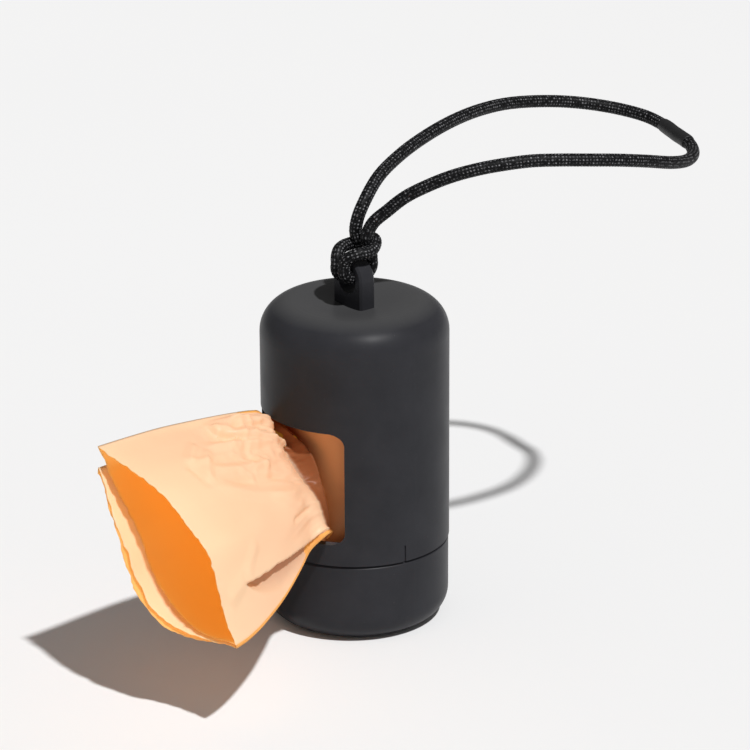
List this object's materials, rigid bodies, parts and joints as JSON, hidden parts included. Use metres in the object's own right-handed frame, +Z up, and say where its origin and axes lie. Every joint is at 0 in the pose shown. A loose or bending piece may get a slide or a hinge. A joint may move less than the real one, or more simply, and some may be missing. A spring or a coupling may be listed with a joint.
{
  "type": "dog waste bag dispenser",
  "caption": "Capsule dispenser for rolled dog waste bags, with a pull-off base cap, a window with the first bag hanging out, and a braided wrist cord.",
  "frame": {"origin": "centre of the base cap's flat underside, on the surface the dispenser stands on", "axes": "+Z up along the body's axis, -Y out of the middle of the window, +X to the right of the window seen from outside"},
  "size_m": [0.065, 0.1751, 0.1139],
  "materials": {
    "soft_touch": "charcoal soft-touch matte moulding",
    "bag_film": "thin pale peach film, slightly glossy in the creases",
    "roll_film": "tightly wound orange film",
    "card": "plain brown paper tube",
    "braid": "black braided nylon",
    "sleeve": "black shrink sleeve"
  },
  "bodies": {
    "housing": {"housing": "soft_touch", "wrist_cord": "braid", "cord_hitch": "braid", "cord_sleeve": "sleeve", "film_web": "roll_film"},
    "base_cap": {"base_cap": "soft_touch"},
    "roll": {"roll_core": "card", "bag_02": "roll_film", "bag_03": "roll_film", "bag_04": "roll_film", "bag_05": "roll_film", "bag_06": "roll_film", "bag_07": "roll_film", "bag_08": "roll_film", "bag_09": "roll_film", "bag_10": "roll_film", "bag_11": "roll_film", "bag_12": "roll_film", "bag_13": "roll_film", "bag_14": "roll_film", "bag_15": "roll_film"},
    "first_bag": {"lead_bag": "bag_film"}
  },
  "joints": [
    {"name": "cap_pull", "type": "slide", "parent": "housing", "child": "base_cap", "axis": [0, 0, -1], "range_m": [0, 0.03]},
    {"name": "bag_pull", "type": "slide", "parent": "housing", "child": "first_bag", "axis": [0, -1, 0], "range_m": [0, 0.1], "deforming": ["film_web"]},
    {"name": "roll_spin", "type": "hinge", "parent": "housing", "child": "roll", "pos_m": [0, 0, 0.0343], "axis": [0, 0, 1], "range_deg": [0, 340]}
  ],
  "couplings": [
    {"joint": "roll_spin", "follows": "bag_pull", "rad_per_m": 58.82}
  ]
}
